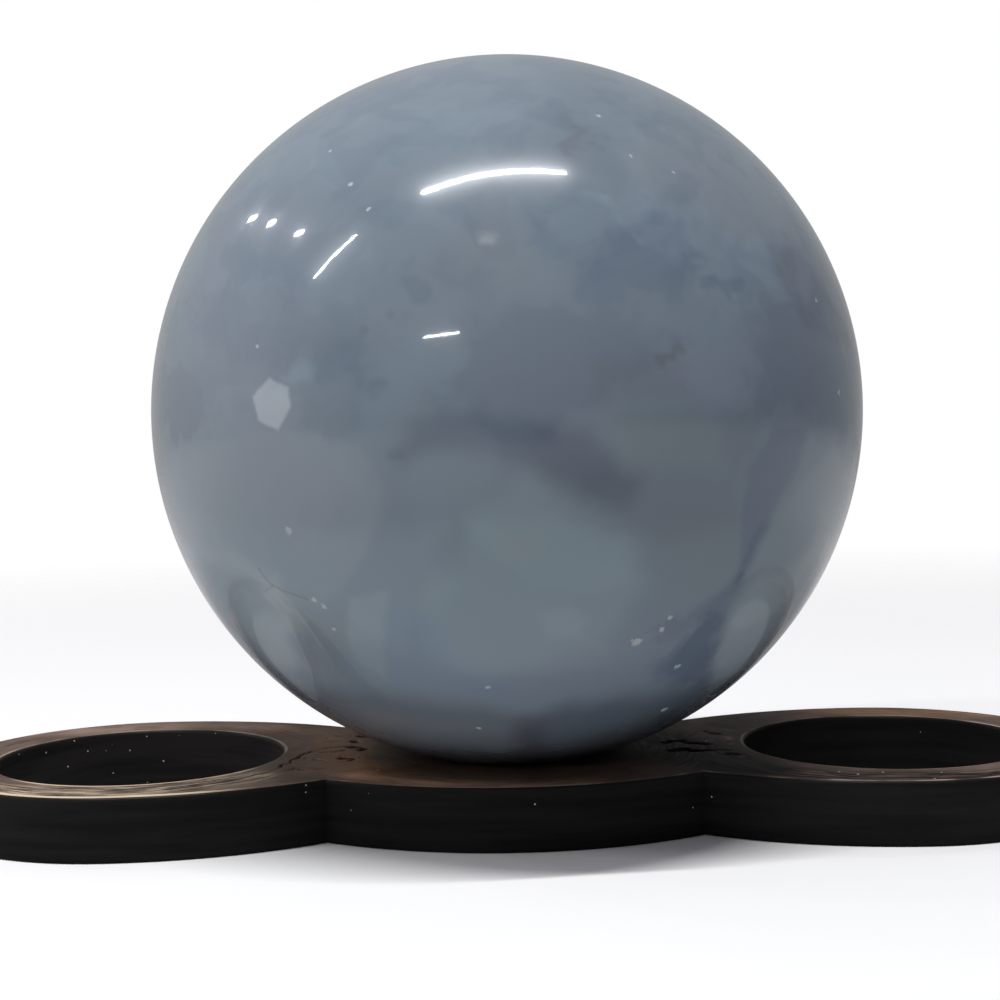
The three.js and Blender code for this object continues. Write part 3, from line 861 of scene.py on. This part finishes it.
def build_ring_grain_group(name):
    """Places stretched along the ring that they are in, for streaks that run round it."""
    tree, given, result = new_group(name, {"Vector": None, "Along": 3.0, "Across": 2500.0}, "Vector")
    place = add(tree, "ShaderNodeSeparateXYZ", {"Vector": given["Vector"]}).outputs
    outer = maths(tree, "GREATER_THAN", maths(tree, "ABSOLUTE", place["X"]), NECK_X)
    ring = maths(tree, "MULTIPLY", maths(tree, "SIGN", place["X"]), outer)
    off_centre = maths(tree, "SUBTRACT", place["X"], maths(tree, "MULTIPLY", ring, RING_PITCH))
    spoke = add(tree, "ShaderNodeCombineXYZ", {"X": off_centre, "Y": place["Y"]}).outputs["Vector"]
    around = scaled(tree, vector_maths(tree, "NORMALIZE", spoke), given["Along"])
    across = maths(tree, "MULTIPLY", vector_maths(tree, "LENGTH", spoke), given["Across"])
    # Each ring has streaks of its own.
    step = maths(tree, "ADD", across, maths(tree, "MULTIPLY", ring, 40.0))
    lift = add(tree, "ShaderNodeCombineXYZ", {"Z": step}).outputs["Vector"]
    feed(tree, result, {"Vector": vector_maths(tree, "ADD", around, lift)})
    return tree


def board_trail(tree, coords, places, half_width, softness):
    """Mask of a soft trail over the stand's top. Places and widths are in millimetres."""
    on_board = [Vector((x * MM, y * MM, BOARD_TOP)) for x, y in places]
    return trail(tree, coords, on_board, half_width, softness)


# Where the top's tone changes, from its finish and from painted light and shade: the places that
# each stretch runs through (x and y in millimetres), its half width and softness, and its share of
# red, green and blue.
TOP_STRETCHES = [
    # Painted shade: the top darker on the right, from the ball to the right ring, the side that the ball
    # shadows and that gets less light than the left
    ([(9, 8), (13, 0), (17, -9)], 4.2, 3.0, (0.13, 0.125, 0.13)),
    ([(19, -11), (26, -15), (40, -15.5)], 2.2, 1.4, (0.10, 0.08, 0.09)),
    ([(18, 6), (21, 11)], 2.0, 2.0, (0.70, 0.75, 0.80)),
    # Lighter and warmer: the far rims, the front of the middle ring, the left neck. This is partly wear and
    # partly painted light: the sheen on the far rims and the stronger light on the left
    ([(28, 15), (44, 12)], 1.6, 1.5, (1.70, 1.35, 1.05)),
    ([(-22, 12), (-28, 15), (-44, 12)], 2.0, 1.5, (1.75, 1.70, 1.75)),
    ([(-12.5, -10.5), (-9, -13), (-5, -14.5), (1, -15.8), (6, -15.4)], 1.0, 1.6, (3.2, 2.75, 2.3)),
    ([(-20, 11), (-15, 3), (-14, -7)], 2.5, 2.5, (1.45, 1.25, 1.10)),
    ([(-16, -9), (-12.5, -9.5)], 1.2, 1.8, (1.30, 1.30, 1.28)),
    ([(-12, -6.8), (-9.7, -8.9)], 1.0, 2.2, (1.5, 1.15, 0.70)),
]


# Dark patches and pale scratches on the rims, in the same form.
RIM_MARKS = [
    ([(-27, -14.2), (-25.1, -13)], 0.6, 0.4, (0.30, 0.31, 0.34)),
    ([(-25.1, -13), (-22.5, -11.2)], 0.5, 0.4, (0.32, 0.31, 0.33)),
    ([(-35, -14), (-30.2, -14.4)], 0.2, 0.4, (0.22, 0.19, 0.18)),
    ([(-27.7, -12.2), (-26.3, -11.7)], 0.2, 0.4, (0.45, 0.40, 0.38)),
    ([(-22.3, -12.5), (-20.7, -11.2), (-19.3, -9.3)], 0.10, 0.4, (1.6, 1.5, 1.5)),
    ([(18.1, -4.6), (18.8, -6.3)], 0.10, 0.4, (4.0, 3.8, 4.0)),
    ([(18.7, 2.9), (18.7, 1.7)], 0.15, 0.4, (4.0, 3.8, 4.0)),
    ([(19, 6.6), (19.4, 6.1)], 0.15, 0.4, (2.0, 1.9, 2.0)),
    ([(18.6, 0), (18.5, -0.5)], 0.12, 0.4, (3.0, 2.8, 3.0)),
]
# The near rims of the outer rings
LEFT_RIM = [(-44, -12), (-34, -15), (-27, -14), (-21, -10)]
RIGHT_RIM = [(23, -13.2), (30, -15.2), (44, -12)]


def grained(tree, bent, streaks, streaky, settings):
    """Brown wood with dark streaks and faint blotches."""
    dark = maths(tree, "MULTIPLY", fade(tree, streaks, 0.38, 0.52, 0.5, 0.0), streaky)
    wood = blend_colour(tree, dark, settings.wood, settings.dark_grain)
    blotches = rise(tree, noise_value(tree, bent, 260.0, 3.0), 0.45, 0.6)
    return shade(tree, blotches, wood, (0.82, 0.80, 0.78))


def rub_rims_and_paint_sheen(tree, bent, grain, wood, settings):
    """Pale streaks along the left rim, bare wood that is also painted sheen, with dark furrows, and faint
    scuffs along the right one.
    """
    finer = vector_maths(tree, "MULTIPLY", grain, (1.0, 1.0, 1.6))
    streaks = noise_value(tree, finer, 1.0, 3.0, 0.6)
    rubbed = board_trail(tree, bent, LEFT_RIM, 1.6, 1.4)
    # Pale streaks on the near left rim: bare wood, and painted sheen of the rim seen at a grazing angle
    bare = maths(tree, "MULTIPLY", rubbed, rise(tree, streaks, 0.50, 0.54))
    wood = blend_colour(tree, bare, wood, [1.15 * part for part in settings.wear_and_sheen])
    furrows = maths(tree, "MULTIPLY", rubbed, fade(tree, streaks, 0.41, 0.45, 0.75, 0.0))
    wood = blend_colour(tree, furrows, wood, settings.dark_grain)
    right_rim = board_trail(tree, bent, RIGHT_RIM, 1.2, 1.2)
    scuffed = maths(tree, "MULTIPLY", right_rim, fade(tree, streaks, 0.52, 0.56, 0.0, 0.35))
    return blend_colour(tree, scuffed, wood, settings.edge_wear_and_highlight), right_rim


def rub_edges_and_paint_highlights(tree, coords, wood, settings):
    """A thin pale line along patches of every edge, and a wide one along the near left rim: wear, and painted
    highlight where the rounded edges catch the light.
    """
    wobble = maths(tree, "MULTIPLY", noise_value(tree, coords, 900.0, 3.0), 0.5)
    edge = maths(tree, "ADD", attribute(tree, "edge"), wobble)
    patchy = fade(tree, noise_value(tree, coords, 180.0, 3.0), 0.42, 0.62, 0.1, 0.9)
    # Painted highlight and wear along the rounded edges
    thin_line = maths(tree, "MULTIPLY", rise(tree, edge, 1.0, 1.2), patchy)
    wood = blend_colour(tree, thin_line, wood, settings.edge_wear_and_highlight)
    # Painted highlight and wear along the near left rim's edge
    near_left = board_trail(tree, coords, LEFT_RIM, 3.2, 0.8)
    wide_line = maths(tree, "MULTIPLY", rise(tree, edge, 0.6, 0.9), near_left)
    return blend_colour(tree, wide_line, wood, [1.6 * part for part in settings.wear_and_sheen])


def split_open(tree, wood, settings):
    """Dark splits with pale lips, which are rubbed wood with a painted highlight along the splits' edges."""
    split = attribute(tree, "split")
    # Pale lips: rubbed wood, and painted highlight along the splits' edges
    lips = maths(tree, "MULTIPLY", rise(tree, split, 0.02, 0.15), fade(tree, split, 0.2, 0.4))
    wood = shade(tree, lips, wood, (1.25, 1.22, 1.20))
    return blend_colour(tree, fade(tree, split, 0.25, 0.7, 0.0, 0.9), wood, settings.dark_grain)


# The wood's colour: grain, wear and dust, with painted light and shade: darker on the right, lighter on the
# left and far rims, highlights along the edges
def wood_with_wear_and_painted_light(settings):
    material, tree, shader = new_material("brown_wood_wear_and_painted_light")
    coords = object_coords(tree)
    bent = bend(tree, coords, 300.0, 1.2 * MM)
    stretch = {"Vector": bent, "Along": 3.0, "Across": 2600.0}
    grain = use_group(tree, "Ring grain", build_ring_grain_group, stretch)
    streaks = noise_value(tree, grain, 1.0, 4.0, 0.6)
    # The streaks fade out at the necks, where the rings' grains would meet.
    across = maths(tree, "ABSOLUTE", axis_value(tree, bent, "X"))
    from_neck = maths(tree, "ABSOLUTE", maths(tree, "SUBTRACT", across, NECK_X))
    streaky = fade(tree, from_neck, 1.5 * MM, 6.0 * MM, 0.15, 1.0)
    wood = grained(tree, bent, streaks, streaky, settings)
    for places, half_width, softness, share in TOP_STRETCHES:
        wood = shade(tree, board_trail(tree, bent, places, half_width, softness), wood, share)
    wood, right_rim = rub_rims_and_paint_sheen(tree, bent, grain, wood, settings)
    for places, half_width, softness, share in RIM_MARKS:
        wood = shade(tree, board_trail(tree, bent, places, half_width, softness), wood, share)
    wood = rub_edges_and_paint_highlights(tree, coords, wood, settings)
    wood = split_open(tree, wood, settings)
    dust = specks(tree, coords, 900.0, fade(tree, right_rim, 0.0, 1.0, 0.01, 0.3), 0.13)
    inputs = {
        "Base Color": blend_colour(tree, dust, wood, settings.dust),
        "Roughness": fade(tree, streaks, 0.35, 0.65, 0.5, 0.65),
        "Specular IOR Level": 0.03,
        "Normal": roughened(tree, maths(tree, "MULTIPLY", streaks, streaky), 0.02 * MM),
    }
    feed(tree, shader, inputs)
    return material


def black_stain(settings):
    material, tree, shader = new_material("black_stained_side")
    coords = object_coords(tree)
    level = {"Vector": coords, "Scale": (60.0, 60.0, 900.0)}
    streaks = noise_value(tree, add(tree, "ShaderNodeMapping", level).outputs["Vector"], 1.0, 4.0)
    cloudy = rise(tree, streaks, 0.35, 0.65)
    stain = blend_colour(tree, cloudy, settings.side, [0.6 * part for part in settings.side])
    # The left hole's wall is dusty and looks paler, most of all near the ball.
    left_wall = board_trail(tree, coords, [(-32, 0)], 14.4, 0.4)
    stain = shade(tree, left_wall, stain, (1.5, 1.4, 1.45))
    near_ball = board_trail(tree, coords, [(-19.5, 3)], 4.0, 3.0)
    stain = shade(tree, maths(tree, "MULTIPLY", near_ball, left_wall), stain, (1.8, 1.7, 1.7))
    notches = [board_trail(tree, coords, [(x, -12)], 3.0, 2.0) for x in (-14, 15)]
    dusty = maths(tree, "MAXIMUM", left_wall, maths(tree, "MAXIMUM", *notches))
    dust = specks(tree, coords, 2000.0, fade(tree, dusty, 0.0, 1.0, 0.004, 0.12), 0.17)
    inputs = {
        "Base Color": blend_colour(tree, dust, stain, settings.dust),
        "Roughness": fade(tree, cloudy, 0.0, 1.0, 0.35, 0.5),
        "Specular IOR Level": 0.08,
    }
    feed(tree, shader, inputs)
    return material


# ---- Stage ----

# Lamps that the polish mirrors. Each is a strip of light between two directions seen from the
# ball, as longitude and latitude in degrees, with a width in metres and a brightness.
LAMP_DISTANCE = 0.8
LAMPS = {
    "ceiling_tube": ((-50.5, 64.3), (51.8, 71.0), 0.016, 200.0),
    "left_spot_far": ((-123.2, 32.8), (-120.2, 34.8), 0.014, 60.0),
    "left_spot_middle": ((-110.2, 37.3), (-108.0, 38.9), 0.015, 90.0),
    "left_spot_near": ((-92.5, 40.7), (-89.9, 42.3), 0.017, 90.0),
    "left_bar": ((-71.0, 34.0), (-64.5, 47.6), 0.006, 150.0),
    "front_bar": ((-25.2, 21.3), (-14.5, 22.9), 0.005, 90.0),
}


def add_lamp(name, start, end, width, brightness):
    """A strip of light that faces the ball."""
    first = on_ball(*start, LAMP_DISTANCE)
    last = on_ball(*end, LAMP_DISTANCE)
    middle = (first + last) / 2
    along = (last - first).normalized()
    across = middle.normalized().cross(along).normalized()
    data = bpy.data.lights.new(name, "AREA")
    data.shape = "RECTANGLE"
    data.size = (last - first).length
    data.size_y = width
    # The power that gives a strip of this size the brightness
    data.energy = brightness * math.pi * data.size * data.size_y
    lamp = bpy.data.objects.new(name, data)
    turn = Matrix((along, across, along.cross(across))).transposed().to_4x4()
    lamp.matrix_world = Matrix.Translation(BALL_CENTRE + middle) @ turn
    lamp.visible_camera = False
    bpy.context.scene.collection.objects.link(lamp)


# The room's soft light: a direction, how tightly it gathers there, and its colour and strength.
ROOM_LIGHT = [
    ((0.0, 0.0, 1.0), 1.0, (0.15, 0.155, 0.19)),
    ((0.0, 1.0, 0.0), 1.0, (0.32, 0.33, 0.33)),
    ((0.0, -1.0, 0.0), 2.0, (0.12, 0.12, 0.12)),
    ((-1.0, -1.0, 0.6), 3.0, (0.09, 0.055, 0.045)),
    ((-1.0, 0.0, 0.2), 6.0, (0.745, 0.75, 0.765)),
    ((-0.6, 0.8, -0.1), 6.0, (0.14, 0.135, 0.13)),
    ((0.6, 0.8, -0.2), 6.0, (0.06, 0.058, 0.056)),
]


def room_glow(tree):
    """Sum of the room's soft lobes of light over the directions that light comes from."""
    looking = add(tree, "ShaderNodeTexCoord").outputs["Generated"]
    total = (0.0, 0.0, 0.0)
    for toward, tightness, tint in ROOM_LIGHT:
        facing = vector_maths(tree, "DOT_PRODUCT", looking, Vector(toward).normalized())
        share = maths(tree, "POWER", maths(tree, "MAXIMUM", facing, 0.0), tightness)
        total = vector_maths(tree, "ADD", scaled(tree, tint, share), total)
    return total


def make_world():
    world = bpy.data.worlds.new("pale_room")
    bpy.context.scene.world = world
    world.use_nodes = True
    tree = world.node_tree
    tree.nodes.clear()
    seen = add(tree, "ShaderNodeBackground", {"Color": (1.0, 1.0, 1.0, 1.0), "Strength": 1.0})
    lighting = add(tree, "ShaderNodeBackground", {"Color": room_glow(tree), "Strength": 1.0})
    direct = add(tree, "ShaderNodeLightPath").outputs["Is Camera Ray"]
    mix = add(tree, "ShaderNodeMixShader", {0: direct, 1: lighting.outputs[0], 2: seen.outputs[0]})
    add(tree, "ShaderNodeOutputWorld", {"Surface": mix.outputs[0]})


def pale_floor(settings):
    material, tree, shader = new_material("pale_floor")
    rays = add(tree, "ShaderNodeLightPath").outputs
    coords = object_coords(tree)
    # The ball mirrors a darker floor than the camera sees, darkest close by, which is painted shade around
    # the stand.
    behind = rise(tree, axis_value(tree, coords, "Y"), -60.0 * MM, 60.0 * MM)
    mirrored = blend_colour(tree, behind, settings.mirrored_front, settings.mirrored_back)
    away = vector_maths(tree, "LENGTH", coords)
    distant = rise(tree, away, 50.0 * MM, 110.0 * MM)
    mirrored = blend_colour(tree, distant, settings.mirrored_near, mirrored)
    unseen = blend_colour(tree, rays["Is Glossy Ray"], settings.floor_bounce, mirrored)
    # To the camera it fades out sooner.
    lasting = fade(tree, away, 0.15 * settings.floor_radius, 0.6 * settings.floor_radius)
    brief = fade(tree, away, 0.08 * settings.floor_radius, 0.25 * settings.floor_radius)
    ends = {0: rays["Is Camera Ray"], 2: lasting, 3: brief}
    inputs = {
        "Base Color": blend_colour(tree, rays["Is Camera Ray"], unseen, settings.floor),
        "Roughness": 0.9,
        "Specular IOR Level": 0.0,
        "Alpha": add(tree, "ShaderNodeMix", ends, data_type="FLOAT").outputs[0],
    }
    feed(tree, shader, inputs)
    return material


def make_floor(settings):
    """A pale disc that fades into the background, so that no edge shows behind the stand."""
    bm = bmesh.new()
    bmesh.ops.create_circle(bm, cap_ends=True, segments=96, radius=settings.floor_radius)
    bmesh.ops.translate(bm, verts=bm.verts, vec=(0.0, 0.0, BOARD_LOW.z))
    floor = finish_mesh(bm, "floor")
    floor.data.materials.append(pale_floor(settings))


def make_camera(settings):
    data = bpy.data.cameras.new("camera")
    data.lens = settings.focal_length
    data.sensor_width = 36.0
    data.shift_x, data.shift_y = settings.shift
    data.clip_start = 0.01
    camera = bpy.data.objects.new("camera", data)
    bpy.context.scene.collection.objects.link(camera)
    turn = Matrix.Rotation(settings.azimuth, 4, "Z")
    upright = Matrix.Rotation(math.radians(90.0), 4, "X")
    tilt = Matrix.Rotation(settings.roll, 4, "Z")
    place = BALL_CENTRE + on_ball(math.degrees(settings.azimuth), 0.0, settings.distance)
    camera.matrix_world = Matrix.Translation(place) @ turn @ upright @ tilt
    bpy.context.scene.camera = camera


# ---- Operators and panel ----


class STONEBALL_OT_ball(bpy.types.Operator):
    """Make the polished stone ball"""

    bl_idname = "stoneball.ball"
    bl_label = "Stone Ball"

    def execute(self, context):
        settings = context.scene.stone_ball
        ball = make_ball_mesh(settings)
        ball.data.materials.append(cloudy_stone(settings))
        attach(ball, "root")
        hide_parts("stone_sphere")
        return {"FINISHED"}


class STONEBALL_OT_stand(bpy.types.Operator):
    """Make the wooden stand of three open rings"""

    bl_idname = "stoneball.stand"
    bl_label = "Ring Stand"

    def execute(self, context):
        settings = context.scene.ring_stand
        stand = make_stand_mesh(settings)
        for material in (wood_with_wear_and_painted_light(settings), black_stain(settings)):
            stand.data.materials.append(material)
        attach(stand, "root")
        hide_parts("ring_stand")
        return {"FINISHED"}


class STONEBALL_OT_stage(bpy.types.Operator):
    """Make the floor, the lamps and the camera"""

    bl_idname = "stoneball.stage"
    bl_label = "Stage"

    def execute(self, context):
        settings = context.scene.ball_stage
        context.scene.view_settings.view_transform = "Standard"
        make_world()
        make_floor(settings)
        for name, lamp in LAMPS.items():
            add_lamp(name, *lamp)
        make_camera(settings)
        return {"FINISHED"}


class STONEBALL_PT_panel(bpy.types.Panel):
    """Lists the pieces and the stage"""

    bl_label = "Stone Ball"
    bl_space_type = "VIEW_3D"
    bl_region_type = "UI"
    bl_category = "Stone Ball"

    def draw(self, context):
        for kind in OPERATORS:
            self.layout.operator(kind.bl_idname)


OPERATORS = (STONEBALL_OT_ball, STONEBALL_OT_stand, STONEBALL_OT_stage)
SETTINGS = {"stone_ball": BallSettings, "ring_stand": StandSettings, "ball_stage": StageSettings}


def register():
    for kind in (*SETTINGS.values(), *OPERATORS, STONEBALL_PT_panel):
        bpy.utils.register_class(kind)
    for name, kind in SETTINGS.items():
        setattr(bpy.types.Scene, name, PointerProperty(type=kind))


def unregister():
    for name in SETTINGS:
        delattr(bpy.types.Scene, name)
    for kind in (STONEBALL_PT_panel, *OPERATORS, *SETTINGS.values()):
        bpy.utils.unregister_class(kind)


def main():
    register()
    bpy.ops.stoneball.ball()
    bpy.ops.stoneball.stand()
    bpy.ops.stoneball.stage()


if __name__ == "__main__":
    main()
